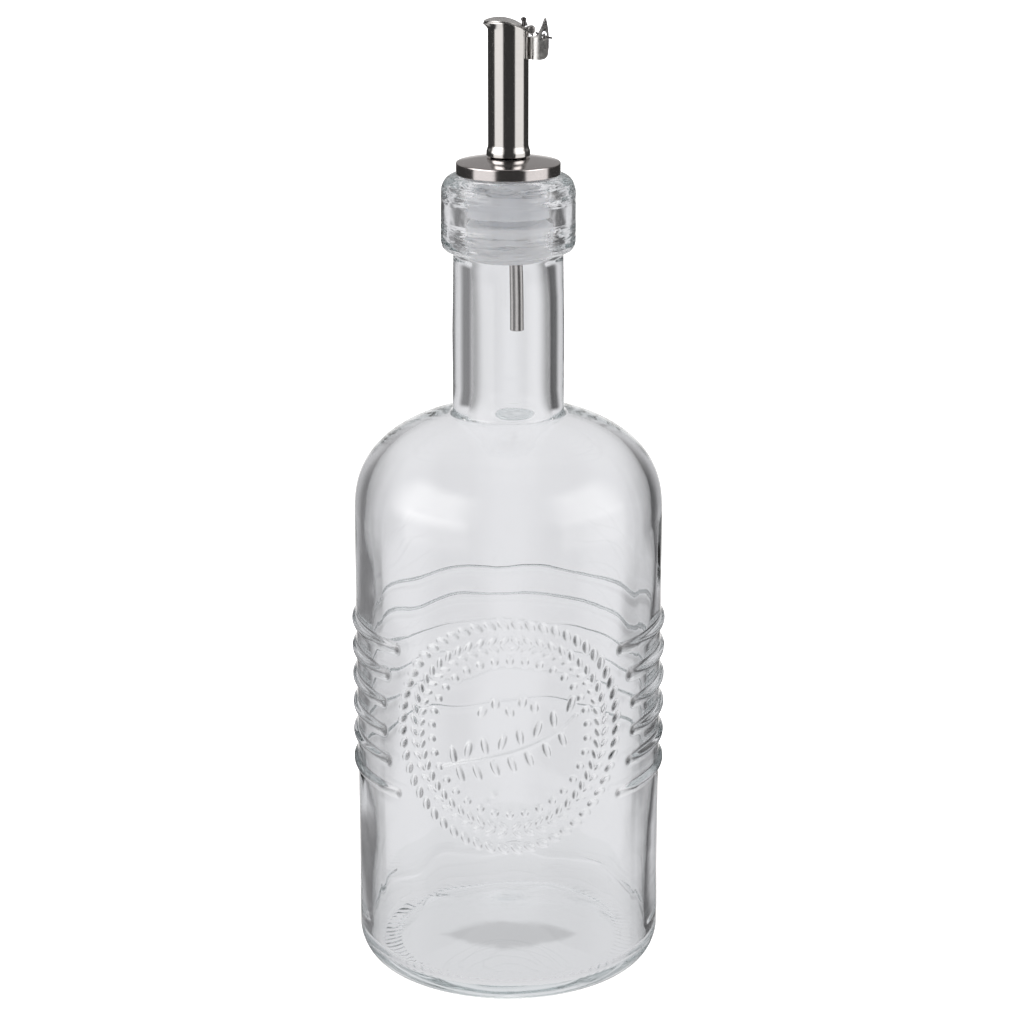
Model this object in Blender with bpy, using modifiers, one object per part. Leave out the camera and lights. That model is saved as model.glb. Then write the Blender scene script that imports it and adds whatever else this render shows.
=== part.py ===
# Oil and vinegar bottle: a ribbed clear glass bottle with a steel flap pourer in its mouth.
# Metres, +Z up. The origin is the centre of the ring that the bottle stands on.
# The medallion faces -Y and the pouring lip faces -X.

import math

import bmesh
import bpy
from mathutils import Vector

MM = 0.001

# Driving dimensions of the bottle
BODY_RADIUS = 37.9 * MM
HEEL_RADIUS = 38.05 * MM
WALL = 2.8 * MM
SHOULDER_BASE_Z = 114.8 * MM
SHOULDER_HEIGHT = 26.15 * MM
NECK_RADIUS = 13.5 * MM
NECK_BORE_RADIUS = 9.4 * MM
FINISH_RADIUS = 16.2 * MM
FINISH_BORE_RADIUS = 10.5 * MM
FINISH_BOTTOM_Z = 181.0 * MM
MOUTH_Z = 198.85 * MM
FLOOR_Z = 8.6 * MM
PUSH_UP = 4.2 * MM
FOOT_RADIUS = 32.45 * MM

# Ribs round the body, and the round field on the front that they leave clear
RIB_COUNT = 6
RIB_TOP_Z = 88.9 * MM
RIB_PITCH = 7.37 * MM
RIB_HEIGHT = 1.0 * MM
RIB_HALF_WIDTH = 1.25 * MM
FIELD_CENTRE_Z = 70.5 * MM
FIELD_RADIUS = 34.2 * MM
MEDALLION_RADII = (28.4 * MM, 19.5 * MM)
MEDALLION_RELIEF = 0.6 * MM

# Driving dimensions of the pourer
COLLAR_RADIUS = 12.5 * MM
COLLAR_BOTTOM_Z = 199.1 * MM
COLLAR_RIM_Z = 202.0 * MM
COLLAR_DOME = 1.4 * MM
SPOUT_RADIUS = 4.84 * MM
SPOUT_WALL = 0.6 * MM
SPOUT_BOTTOM_Z = 203.5 * MM
SPOUT_TOP_Z = 236.5 * MM
LIP_START_Z = 232.9 * MM
LIP_REACH = 1.0 * MM
AIR_TUBE_RADIUS = 1.65 * MM
AIR_TUBE_WALL = 0.35 * MM
AIR_TUBE_X = 1.9 * MM
AIR_TUBE_BOTTOM_Z = 161.4 * MM
POUR_BORE_RADIUS = 2.4 * MM
POUR_BORE_X = -3.3 * MM
GAP = 0.3 * MM

# The mouth of the spout is cut along an arc about a line parallel to Y, and the lid follows it
MOUTH_ARC_X = -2.5 * MM
MOUTH_ARC_Z = 223.9 * MM
LID_TOP_RADIUS = 11.6 * MM
LID_THICKNESS = 0.45 * MM
LID_GAP = 0.2 * MM
LID_PLAN_RADIUS = 4.92 * MM
LID_PLAN_X = -0.6 * MM
TAB_WIDTH = 3.0 * MM
KNUCKLE_RADIUS = 1.05 * MM
KNUCKLE_X = 5.55 * MM
KNUCKLE_Z = 233.0 * MM

# The hinge: a clevis on the back of the spout holds the cross pin of the flap's wire
HINGE_X = 8.4 * MM
HINGE_Z = 231.5 * MM
PIN_RADIUS = 0.36 * MM
PIN_LENGTH = 5.6 * MM
WIRE_RADIUS = 0.25 * MM
CLEVIS_BEND_X = 7.4 * MM
CLEVIS_BEND_RADIUS = 2.4 * MM
CLEVIS_SHEET = 0.5 * MM
CLEVIS_END_X = 9.6 * MM
CLEVIS_BOTTOM_Z = 226.2 * MM
CLEVIS_TOP_Z = 235.5 * MM
EYE_HALF_WIDTH = 0.6 * MM
EYE_HALF_HEIGHT = 1.15 * MM
EYE_RISE = 0.25 * MM
KNOB_RADIUS = 0.45 * MM
KNOB_X = 3.6 * MM
KNOB_Z = 235.5 * MM

TURN_STEPS = 64
SMALL_STEPS = 36
WELD_DISTANCE = 0.00001
SMOOTH_ANGLE = math.radians(35)


# Scene, collections and materials

def clear_scene():
    for obj in list(bpy.data.objects):
        bpy.data.objects.remove(obj, do_unlink=True)


def add_collection(name):
    collection = bpy.data.collections.new(name)
    bpy.context.scene.collection.children.link(collection)
    return collection


def add_material(name, colour, metallic, roughness, transmission=0.0):
    material = bpy.data.materials.new(name)
    material.use_nodes = True
    shader = material.node_tree.nodes["Principled BSDF"]
    shader.inputs["Base Color"].default_value = (*colour, 1.0)
    shader.inputs["Metallic"].default_value = metallic
    shader.inputs["Roughness"].default_value = roughness
    shader.inputs["Transmission Weight"].default_value = transmission
    material.diffuse_color = (*colour, 1.0)
    return material


# Outlines

def ellipse_arc(centre, radii, start, end, count):
    points = []
    for i in range(count + 1):
        angle = math.radians(start + (end - start) * i / count)
        points.append((centre[0] + radii[0] * math.cos(angle), centre[1] + radii[1] * math.sin(angle)))
    return points


def shoulder_curve(neck_radius, body_radius, base_z, height, count):
    # A full, flat-topped dome, from the neck down to the body
    points = []
    for i in range(count + 1):
        rise = math.cos(math.pi / 2 * i / count)
        spread = max(0.0, 1.0 - rise ** 2.8) ** 0.69
        points.append((neck_radius + (body_radius - neck_radius) * spread, base_z + height * rise))
    return points


# Building blocks

def add_object(name, mesh, collection, material=None):
    obj = bpy.data.objects.new(name, mesh)
    collection.objects.link(obj)
    if material:
        mesh.materials.append(material)
    return obj


def turned(name, profile, collection, material, steps=TURN_STEPS, closed=False):
    # The profile is a list of (radius, height) that runs down the outer side
    mesh = bpy.data.meshes.new(name)
    edges = [(i, i + 1) for i in range(len(profile) - 1)]
    if closed:
        edges.append((len(profile) - 1, 0))
    mesh.from_pydata([(radius, 0.0, height) for radius, height in profile], edges, [])
    obj = add_object(name, mesh, collection, material)
    screw = obj.modifiers.new("turn", "SCREW")
    screw.steps = steps
    screw.render_steps = steps
    screw.use_merge_vertices = True
    screw.merge_threshold = WELD_DISTANCE
    screw.use_smooth_shade = True
    return obj


def extruded(name, outlines, depth, collection, material=None):
    # Flat closed outlines in the XZ plane, the first one outside and any others holes,
    # made depth thick along Y
    curve = bpy.data.curves.new(name, "CURVE")
    curve.dimensions = "2D"
    curve.fill_mode = "BOTH"
    curve.extrude = depth / 2
    for outline in outlines:
        spline = curve.splines.new("POLY")
        spline.points.add(len(outline) - 1)
        for point, (x, z) in zip(spline.points, outline):
            point.co = (x, z, 0.0, 1.0)
        spline.use_cyclic_u = True
    obj = bpy.data.objects.new(name, curve)
    collection.objects.link(obj)
    obj.rotation_euler = (math.radians(90), 0.0, 0.0)
    return to_mesh(obj, material)


def rod(name, points, radius, collection, material=None, cyclic=False, sides=2):
    curve = bpy.data.curves.new(name, "CURVE")
    curve.dimensions = "3D"
    curve.bevel_depth = radius
    curve.bevel_resolution = sides
    curve.use_fill_caps = not cyclic
    spline = curve.splines.new("POLY")
    spline.points.add(len(points) - 1)
    for point, place in zip(spline.points, points):
        point.co = (*place, 1.0)
    spline.use_cyclic_u = cyclic
    obj = bpy.data.objects.new(name, curve)
    collection.objects.link(obj)
    return to_mesh(obj, material)


def to_mesh(obj, material=None):
    # Replaces an object by the mesh that it shows, with its seams welded
    bpy.context.view_layer.update()
    graph = bpy.context.evaluated_depsgraph_get()
    mesh = bpy.data.meshes.new_from_object(obj.evaluated_get(graph))
    name = obj.name
    collection = obj.users_collection[0]
    matrix = obj.matrix_world.copy()
    bpy.data.objects.remove(obj, do_unlink=True)
    work = bmesh.new()
    work.from_mesh(mesh)
    bmesh.ops.remove_doubles(work, verts=work.verts, dist=WELD_DISTANCE)
    work.to_mesh(mesh)
    work.free()
    mesh.name = name
    if material:
        mesh.materials.clear()
    solid = add_object(name, mesh, collection, material)
    solid.matrix_world = matrix
    return solid


def cylinder(name, radius, depth, location, collection, steps=SMALL_STEPS, along_y=False):
    mesh = bpy.data.meshes.new(name)
    work = bmesh.new()
    bmesh.ops.create_cone(work, cap_ends=True, segments=steps, radius1=radius, radius2=radius, depth=depth)
    work.to_mesh(mesh)
    work.free()
    obj = add_object(name, mesh, collection)
    obj.location = location
    if along_y:
        obj.rotation_euler = (math.radians(90), 0.0, 0.0)
    return obj


def as_cutter(obj):
    obj.hide_render = True
    obj.display_type = "WIRE"
    return obj


def combine(obj, operation, tool):
    modifier = obj.modifiers.new(tool.name, "BOOLEAN")
    modifier.operation = operation
    modifier.object = as_cutter(tool)
    modifier.solver = "EXACT"


def finish_solid(obj):
    # Applies what the object shows and smooths its round faces
    solid = to_mesh(obj)
    solid.data.shade_smooth()
    solid.data.set_sharp_from_angle(angle=SMOOTH_ANGLE)
    return solid


# Glass bottle

def bottle_profile():
    body_bore = BODY_RADIUS - WALL
    inner_heel = 7.2 * MM
    lip_width = FINISH_RADIUS - 3.0 * MM
    foot_inner = FOOT_RADIUS - 3.2 * MM
    profile = [(0.0, FLOOR_Z), (13 * MM, FLOOR_Z - 0.4 * MM), (23 * MM, FLOOR_Z - 1.9 * MM)]
    profile += ellipse_arc((body_bore - inner_heel, 13.4 * MM), (inner_heel, inner_heel), -90, 0, 4)
    profile += reversed(shoulder_curve(NECK_BORE_RADIUS, body_bore, SHOULDER_BASE_Z - 0.6 * MM,
                                       SHOULDER_HEIGHT - 1.6 * MM, 6))
    profile += [(NECK_BORE_RADIUS, 177.5 * MM), (FINISH_BORE_RADIUS, 180.6 * MM)]
    profile += ellipse_arc((lip_width - 0.7 * MM, MOUTH_Z - 1.8 * MM),
                           (lip_width - 0.7 * MM - FINISH_BORE_RADIUS, 1.8 * MM), 180, 90, 2)
    profile += ellipse_arc((lip_width, MOUTH_Z - 4.4 * MM), (3.0 * MM, 4.4 * MM), 90, 0, 4)
    profile += ellipse_arc((FINISH_RADIUS - 1.3 * MM, FINISH_BOTTOM_Z + 2.5 * MM), (1.3 * MM, 2.5 * MM),
                           0, -90, 2)
    profile += [(NECK_RADIUS - 0.2 * MM, FINISH_BOTTOM_Z - 0.4 * MM), (NECK_RADIUS + 0.1 * MM, 161 * MM)]
    profile += shoulder_curve(NECK_RADIUS, BODY_RADIUS, SHOULDER_BASE_Z, SHOULDER_HEIGHT, 9)
    for i in range(RIB_COUNT):
        rib_z = RIB_TOP_Z - RIB_PITCH * i
        profile += [(BODY_RADIUS, rib_z + RIB_HALF_WIDTH), (BODY_RADIUS + RIB_HEIGHT, rib_z),
                    (BODY_RADIUS, rib_z - RIB_HALF_WIDTH)]
    profile += ellipse_arc((FOOT_RADIUS, 7.6 * MM), (HEEL_RADIUS - FOOT_RADIUS, 7.6 * MM), 0, -90, 4)
    profile += [(foot_inner, 0.0), (foot_inner - 1.4 * MM, 0.9 * MM), (18.5 * MM, 1.9 * MM),
                (15.5 * MM, 3.2 * MM), (0.0, PUSH_UP)]
    return profile


def clear_front_field(mesh):
    # The ribs stop at the round field of the medallion, so there they are let down to the wall
    for vertex in mesh.vertices:
        x, y, z = vertex.co
        radius = math.hypot(x, y)
        if radius < BODY_RADIUS + RIB_HEIGHT / 2 or z < 20 * MM:
            continue
        around = BODY_RADIUS * math.atan2(x, -y)
        if math.hypot(around, z - FIELD_CENTRE_Z) < FIELD_RADIUS:
            vertex.co.x = x * BODY_RADIUS / radius
            vertex.co.y = y * BODY_RADIUS / radius


def medallion_ring(radius, cutters, count=40):
    points = []
    for i in range(count):
        angle = 2 * math.pi * i / count
        around = radius * math.cos(angle) / BODY_RADIUS
        points.append((BODY_RADIUS * math.sin(around), -BODY_RADIUS * math.cos(around),
                       FIELD_CENTRE_Z + radius * math.sin(angle)))
    return rod("medallion_ring", points, MEDALLION_RELIEF, cutters, cyclic=True, sides=1)


def build_bottle(parts, cutters):
    glass = add_material("clear_glass", (0.93, 0.96, 0.96), 0.0, 0.03, 1.0)
    bottle = to_mesh(turned("bottle", bottle_profile(), parts, glass))
    clear_front_field(bottle.data)
    for radius in MEDALLION_RADII:
        combine(bottle, "UNION", medallion_ring(radius, cutters))
    finish_solid(bottle)


# Stopper, collar and tubes

def stopper_profile():
    core = FINISH_BORE_RADIUS - 2.0 * MM
    fin = FINISH_BORE_RADIUS - GAP
    lower = NECK_BORE_RADIUS - GAP
    profile = [(0.0, COLLAR_BOTTOM_Z - GAP), (fin, COLLAR_BOTTOM_Z - GAP), (fin, 196.6 * MM), (core, 196.0 * MM)]
    for fin_z in (193.4 * MM, 189.6 * MM, 185.8 * MM):
        profile += [(core, fin_z + 0.8 * MM), (fin, fin_z + 0.3 * MM), (fin, fin_z - 0.5 * MM),
                    (core, fin_z - 0.9 * MM)]
    profile += [(core, 183.4 * MM), (fin - 0.3 * MM, 182.9 * MM), (fin - 0.3 * MM, 181.6 * MM)]
    profile += [(lower - 0.4 * MM, 179.6 * MM), (lower - 1.6 * MM, 178.9 * MM), (0.0, 178.7 * MM)]
    return profile


def build_stopper(parts, cutters):
    plastic = add_material("stopper_plastic", (0.78, 0.80, 0.82), 0.0, 0.4)
    stopper = turned("stopper", stopper_profile(), parts, plastic, steps=SMALL_STEPS)
    for name, x, radius in (("pour_bore", POUR_BORE_X, POUR_BORE_RADIUS),
                            ("air_bore", AIR_TUBE_X, AIR_TUBE_RADIUS + 0.2 * MM)):
        combine(stopper, "DIFFERENCE", cylinder(name, radius, 40 * MM, (x, 0.0, 190 * MM), cutters, 20))
    finish_solid(stopper)


def build_collar(parts):
    steel = add_material("collar_steel", (0.62, 0.59, 0.57), 1.0, 0.25)
    bore = SPOUT_RADIUS - SPOUT_WALL
    edge = 0.3 * MM
    profile = []
    for radius in (bore, 8.0 * MM, 10.6 * MM):
        profile.append((radius, COLLAR_RIM_Z + COLLAR_DOME * (1 - (radius / COLLAR_RADIUS) ** 2)))
    profile += [(COLLAR_RADIUS - edge, COLLAR_RIM_Z), (COLLAR_RADIUS, COLLAR_RIM_Z - edge),
                (COLLAR_RADIUS, COLLAR_BOTTOM_Z + edge), (COLLAR_RADIUS - edge, COLLAR_BOTTOM_Z),
                (bore, COLLAR_BOTTOM_Z)]
    finish_solid(turned("collar", profile, parts, steel, steps=48, closed=True))


def build_air_tube(parts):
    steel = add_material("air_tube_steel", (0.66, 0.64, 0.62), 1.0, 0.3)
    inner = AIR_TUBE_RADIUS - AIR_TUBE_WALL
    top = COLLAR_BOTTOM_Z - GAP
    profile = [(AIR_TUBE_RADIUS, top), (AIR_TUBE_RADIUS, AIR_TUBE_BOTTOM_Z), (inner, AIR_TUBE_BOTTOM_Z),
               (inner, top)]
    tube = turned("air_tube", profile, parts, steel, steps=20, closed=True)
    tube.location = (AIR_TUBE_X, 0.0, 0.0)
    finish_solid(tube)


def spout_profile():
    foot = SPOUT_RADIUS + 0.4 * MM
    bore = SPOUT_RADIUS - SPOUT_WALL
    lip_heights = [SPOUT_TOP_Z, 235.6 * MM, 234.7 * MM, 233.8 * MM, LIP_START_Z]
    profile = [(SPOUT_RADIUS, z) for z in lip_heights]
    profile += [(SPOUT_RADIUS, 206.0 * MM), (SPOUT_RADIUS + 0.12 * MM, 205.2 * MM), (foot, 204.4 * MM),
                (foot, SPOUT_BOTTOM_Z), (bore, SPOUT_BOTTOM_Z)]
    profile += [(bore, z) for z in reversed(lip_heights)]
    return profile


def flare_lip(mesh):
    # The mouth turns outwards on the pouring side only
    for vertex in mesh.vertices:
        x, y, z = vertex.co
        if z <= LIP_START_Z:
            continue
        side = max(0.0, -x / math.hypot(x, y)) ** 3
        climb = (z - LIP_START_Z) / (SPOUT_TOP_Z - LIP_START_Z)
        vertex.co.x -= 1.6 * LIP_REACH * side * climb ** 1.3


def above_arc(name, radius, cutters):
    # Everything above the mouth's arc
    mesh = bpy.data.meshes.new(name)
    work = bmesh.new()
    bmesh.ops.create_cube(work, size=1.0)
    bmesh.ops.scale(work, vec=Vector((18 * MM, 16 * MM, 10 * MM)), verts=work.verts)
    work.to_mesh(mesh)
    work.free()
    block = add_object(name, mesh, cutters)
    block.location = (MOUTH_ARC_X + 1.0 * MM, 0.0, 235.5 * MM)
    drum = cylinder(name + "_drum", radius, 20 * MM, (MOUTH_ARC_X, 0.0, MOUTH_ARC_Z), cutters, 96, True)
    combine(block, "DIFFERENCE", drum)
    return to_mesh(block)


def build_spout(parts, cutters):
    steel = add_material("spout_steel", (0.66, 0.64, 0.62), 1.0, 0.22)
    spout = to_mesh(turned("spout", spout_profile(), parts, steel, steps=SMALL_STEPS, closed=True))
    flare_lip(spout.data)
    combine(spout, "DIFFERENCE", above_arc("mouth_cut", LID_TOP_RADIUS - LID_THICKNESS - LID_GAP, cutters))
    finish_solid(spout)


# Clevis and flap

def clevis_plan(inset):
    # The bent strip seen from above, as a filled U that opens to +X
    radius = CLEVIS_BEND_RADIUS - inset
    end = CLEVIS_END_X + (inset and 2 * MM)
    arc = ellipse_arc((CLEVIS_BEND_X, 0.0), (radius, radius), 90, 270, 10)
    return [(end, radius)] + arc + [(end, -radius)]


def clevis_side():
    # One ear seen from the front: a low back, a pointed ear and a rounded lower corner
    low_back = CLEVIS_BOTTOM_Z + 4.5 * MM
    back_x = CLEVIS_BEND_X - CLEVIS_BEND_RADIUS - 0.5 * MM
    outline = [(back_x, CLEVIS_BOTTOM_Z), (7.7 * MM, CLEVIS_BOTTOM_Z + 0.1 * MM)]
    outline += ellipse_arc((8.0 * MM, 227.9 * MM), (1.35 * MM, 1.5 * MM), -70, -10, 3)
    outline += [(9.5 * MM, 230.2 * MM), (9.5 * MM, 231.9 * MM), (9.2 * MM, 233.8 * MM), (8.8 * MM, CLEVIS_TOP_Z)]
    outline += [(8.5 * MM, CLEVIS_TOP_Z), (8.15 * MM, 234.6 * MM), (7.7 * MM, 233.2 * MM),
                (7.15 * MM, 232.3 * MM), (6.75 * MM, 231.2 * MM), (6.4 * MM, low_back), (back_x, low_back)]
    return outline


def build_clevis(parts, cutters):
    steel = add_material("clevis_steel", (0.55, 0.54, 0.53), 1.0, 0.3)
    tall = CLEVIS_TOP_Z - CLEVIS_BOTTOM_Z + 2 * MM
    middle = (CLEVIS_TOP_Z + CLEVIS_BOTTOM_Z) / 2
    eye = ellipse_arc((HINGE_X, HINGE_Z + EYE_RISE), (EYE_HALF_WIDTH, EYE_HALF_HEIGHT), 360, 0, 16)[:-1]
    clevis = extruded("clevis", [clevis_side(), eye], 8 * MM, parts, steel)
    blocks = []
    for name, inset, height in (("strip_outside", 0.0, tall), ("strip_inside", CLEVIS_SHEET, tall + 2 * MM)):
        block = extruded(name, [clevis_plan(inset)], height, cutters)
        block.rotation_euler = (0.0, 0.0, 0.0)
        block.location = (0.0, 0.0, middle)
        blocks.append(block)
    combine(clevis, "INTERSECT", blocks[0])
    combine(clevis, "DIFFERENCE", blocks[1])
    finish_solid(clevis)


def arc_band(start, end, count):
    outer = ellipse_arc((MOUTH_ARC_X, MOUTH_ARC_Z), (LID_TOP_RADIUS, LID_TOP_RADIUS), start, end, count)
    under = LID_TOP_RADIUS - LID_THICKNESS
    return outer + ellipse_arc((MOUTH_ARC_X, MOUTH_ARC_Z), (under, under), end, start, count)


def build_flap(parts, cutters):
    steel = add_material("flap_steel", (0.58, 0.55, 0.54), 1.0, 0.28)
    lid = extruded("flap_lid", [arc_band(125, 48, 16)], 14 * MM, parts, steel)
    combine(lid, "INTERSECT", cylinder("lid_plan", LID_PLAN_RADIUS, 30 * MM, (LID_PLAN_X, 0.0, 234 * MM), cutters))
    tab = extruded("lid_tab", [arc_band(62, 48, 4)], TAB_WIDTH, cutters)
    knuckle = cylinder("lid_knuckle", KNUCKLE_RADIUS, TAB_WIDTH + 0.2 * MM, (KNUCKLE_X, 0.0, KNUCKLE_Z), cutters,
                       16, True)
    tang_outline = [(5.1 * MM, 233.0 * MM), (6.3 * MM, 232.6 * MM), (5.55 * MM, 231.7 * MM), (5.1 * MM, 231.6 * MM)]
    tang = extruded("lid_tang", [tang_outline], TAB_WIDTH - 0.4 * MM, cutters)
    post_foot = Vector((KNOB_X + 0.55 * MM, 0.0, 233.2 * MM))
    post_top = Vector((KNOB_X + 0.14 * MM, 0.0, KNOB_Z - KNOB_RADIUS - 0.15 * MM))
    post = rod("lid_post", [post_foot, post_top], 0.42 * MM, cutters, sides=4)
    for piece in (tab, knuckle, tang, post):
        combine(lid, "UNION", piece)
    finish_solid(lid)


def build_flap_wire(parts, cutters):
    steel = add_material("wire_steel", (0.35, 0.34, 0.34), 1.0, 0.35)
    reach = KNUCKLE_RADIUS + 0.2 * MM
    start = (KNUCKLE_X + reach * math.cos(math.radians(35)), 0.0, KNUCKLE_Z - reach * math.sin(math.radians(35)))
    points = [start, (7.5 * MM, 0.0, 231.75 * MM), (HINGE_X, 0.0, HINGE_Z), (10.3 * MM, 0.0, 231.0 * MM)]
    wire = rod("flap_wire", points, WIRE_RADIUS, parts, steel)
    combine(wire, "UNION", cylinder("cross_pin", PIN_RADIUS, PIN_LENGTH, (HINGE_X, 0.0, HINGE_Z), cutters, 12, True))
    finish_solid(wire)


def build_flap_knob(parts):
    # The dark ball on the lid's post
    dark = add_material("knob_dark", (0.12, 0.11, 0.11), 1.0, 0.4)
    mesh = bpy.data.meshes.new("flap_knob")
    work = bmesh.new()
    bmesh.ops.create_uvsphere(work, u_segments=12, v_segments=8, radius=KNOB_RADIUS)
    work.to_mesh(mesh)
    work.free()
    knob = add_object("flap_knob", mesh, parts, dark)
    knob.location = (KNOB_X, 0.0, KNOB_Z)
    finish_solid(knob)


def main():
    clear_scene()
    parts = add_collection("oil_and_vinegar_bottle")
    cutters = add_collection("cutters")
    build_bottle(parts, cutters)
    build_stopper(parts, cutters)
    build_collar(parts)
    build_air_tube(parts)
    build_spout(parts, cutters)
    build_clevis(parts, cutters)
    build_flap(parts, cutters)
    build_flap_wire(parts, cutters)
    build_flap_knob(parts)
    for obj in cutters.objects:
        as_cutter(obj)


main()
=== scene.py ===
# Oil and vinegar bottle: the finished look of the pressed glass, the finned stopper and the steel pourer.
# Metres, +Z up. The medallion faces -Y and the pouring lip faces -X.

import math
from functools import partial

import bpy
import numpy as np
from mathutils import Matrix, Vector


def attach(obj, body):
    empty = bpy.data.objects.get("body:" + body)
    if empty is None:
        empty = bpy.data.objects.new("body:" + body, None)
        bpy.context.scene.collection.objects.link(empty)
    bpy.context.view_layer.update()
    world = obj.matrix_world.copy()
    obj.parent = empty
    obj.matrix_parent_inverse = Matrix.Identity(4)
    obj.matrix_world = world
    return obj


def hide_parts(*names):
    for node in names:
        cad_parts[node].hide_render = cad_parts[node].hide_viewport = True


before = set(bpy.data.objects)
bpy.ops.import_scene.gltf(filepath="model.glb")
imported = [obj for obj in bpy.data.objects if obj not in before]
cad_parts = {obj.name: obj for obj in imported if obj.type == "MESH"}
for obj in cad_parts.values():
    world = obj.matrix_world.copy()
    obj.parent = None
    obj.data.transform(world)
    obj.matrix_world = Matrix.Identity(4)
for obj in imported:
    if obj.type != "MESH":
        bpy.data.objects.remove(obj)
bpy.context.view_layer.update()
mm = 0.001


# Helpers for modelling

def startObject():
    if bpy.context.mode != "OBJECT":
        bpy.ops.object.mode_set(mode="OBJECT")
    bpy.ops.object.select_all(action="DESELECT")


def called(name):
    piece = bpy.context.active_object
    piece.name = name
    piece.data.name = name
    return piece


def arcPoints(centre, radii, start, end, count):
    points = []
    for i in range(count + 1):
        angle = math.radians(start + (end - start) * i / count)
        points.append((centre[0] + radii[0] * math.cos(angle), centre[1] + radii[1] * math.sin(angle)))
    return points


def drawOutline(name, outline, turn=0.0, closed=False):
    # One vertex extruded from point to point, in mm, in an upright plane turned round Z from -Y
    startObject()
    bpy.ops.mesh.primitive_plane_add(size=mm, location=(0, 0, 0))
    piece = called(name)
    bpy.ops.object.mode_set(mode="EDIT")
    bpy.ops.mesh.merge(type="CENTER")
    last = Vector((0, 0, 0))
    for i, (radius, height) in enumerate(outline):
        place = Vector((radius * math.sin(turn), -radius * math.cos(turn), height)) * mm
        if i == 0:
            bpy.ops.transform.translate(value=place - last)
        else:
            bpy.ops.mesh.extrude_region_move(TRANSFORM_OT_translate={"value": place - last})
        last = place
    if closed:
        bpy.ops.mesh.select_all(action="DESELECT")
        bpy.ops.object.mode_set(mode="OBJECT")
        for vertex in piece.data.vertices:
            vertex.select = sum(vertex.index in edge.vertices for edge in piece.data.edges) == 1
        bpy.ops.object.mode_set(mode="EDIT")
        bpy.ops.mesh.edge_face_add()
    bpy.ops.mesh.select_all(action="SELECT")
    return piece


def spinRound(steps, angle=2 * math.pi):
    bpy.ops.mesh.spin(steps=steps, angle=angle, center=(0, 0, 0), axis=(0, 0, 1), use_auto_merge=False)


def closeShell(distance=0.002 * mm):
    bpy.ops.mesh.select_all(action="SELECT")
    bpy.ops.mesh.remove_doubles(threshold=distance)
    bpy.ops.mesh.normals_make_consistent(inside=False)
    bpy.ops.object.mode_set(mode="OBJECT")


def applyPlace():
    bpy.ops.object.transform_apply(location=True, rotation=True, scale=True)


def activate(piece):
    startObject()
    piece.select_set(True)
    bpy.context.view_layer.objects.active = piece


def applyModifier(piece, name, kind, **settings):
    activate(piece)
    modifier = piece.modifiers.new(name, kind)
    for key, value in settings.items():
        setattr(modifier, key, value)
    bpy.ops.object.modifier_apply(modifier=modifier.name)


def cutBy(piece, tool, how="DIFFERENCE"):
    applyModifier(piece, "cut", "BOOLEAN", operation=how, solver="EXACT", object=tool)
    bpy.data.objects.remove(tool, do_unlink=True)


def softenEdges(piece, width, angle=30, segments=2):
    applyModifier(piece, "edges", "BEVEL", width=width * mm, segments=segments, limit_method="ANGLE",
                  angle_limit=math.radians(angle))


def settle(piece, smoothAngle=35):
    # Puts the place of the piece in its mesh and smooths its round faces
    activate(piece)
    applyPlace()
    bpy.ops.object.shade_smooth_by_angle(angle=math.radians(smoothAngle))
    return piece


def evenNormals(piece):
    # Lets the large faces set the shading, so that small bevels don't bend the reflections on them
    applyModifier(piece, "even", "WEIGHTED_NORMAL", weight=50, keep_sharp=True)
    return piece


def addDrum(name, radius, depth, place, steps=32, alongY=False):
    # A cylinder, all sizes in mm
    startObject()
    turn = (math.radians(90), 0, 0) if alongY else (0, 0, 0)
    bpy.ops.mesh.primitive_cylinder_add(vertices=steps, radius=radius * mm, depth=depth * mm,
                                        location=Vector(place) * mm, rotation=turn)
    drum = called(name)
    applyPlace()
    return drum


def addSheetShape(name, outline, depth, alongY=True):
    # A filled circle whose vertices are moved to a flat outline in mm, extruded through its depth
    startObject()
    bpy.ops.mesh.primitive_circle_add(vertices=len(outline), radius=mm, fill_type="NGON")
    piece = called(name)
    for vertex, (a, b) in zip(piece.data.vertices, outline):
        vertex.co = Vector((a, -depth / 2, b)) * mm if alongY else Vector((a, b, -depth / 2)) * mm
    bpy.ops.object.mode_set(mode="EDIT")
    bpy.ops.mesh.select_all(action="SELECT")
    step = (0, depth * mm, 0) if alongY else (0, 0, depth * mm)
    bpy.ops.mesh.extrude_region_move(TRANSFORM_OT_translate={"value": step})
    closeShell()
    return piece


def selectFaces(piece, chosen):
    # Leaves the piece in edit mode with just these faces selected
    bpy.ops.object.mode_set(mode="EDIT")
    bpy.ops.mesh.select_mode(type="FACE")
    bpy.ops.mesh.select_all(action="DESELECT")
    bpy.ops.object.mode_set(mode="OBJECT")
    piece.data.polygons.foreach_set("select", chosen)
    bpy.ops.object.mode_set(mode="EDIT")


def coordinates(piece):
    places = np.empty(len(piece.data.vertices) * 3)
    piece.data.vertices.foreach_get("co", places)
    return places.reshape(-1, 3)


def moveVertices(piece, places):
    piece.data.vertices.foreach_set("co", places.ravel())
    piece.data.update()


def rise(value, start, end):
    # 0 at the start, 1 at the end and straight between them
    return np.clip((value - start) / (end - start), 0, 1)


# Glass bottle

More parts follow.
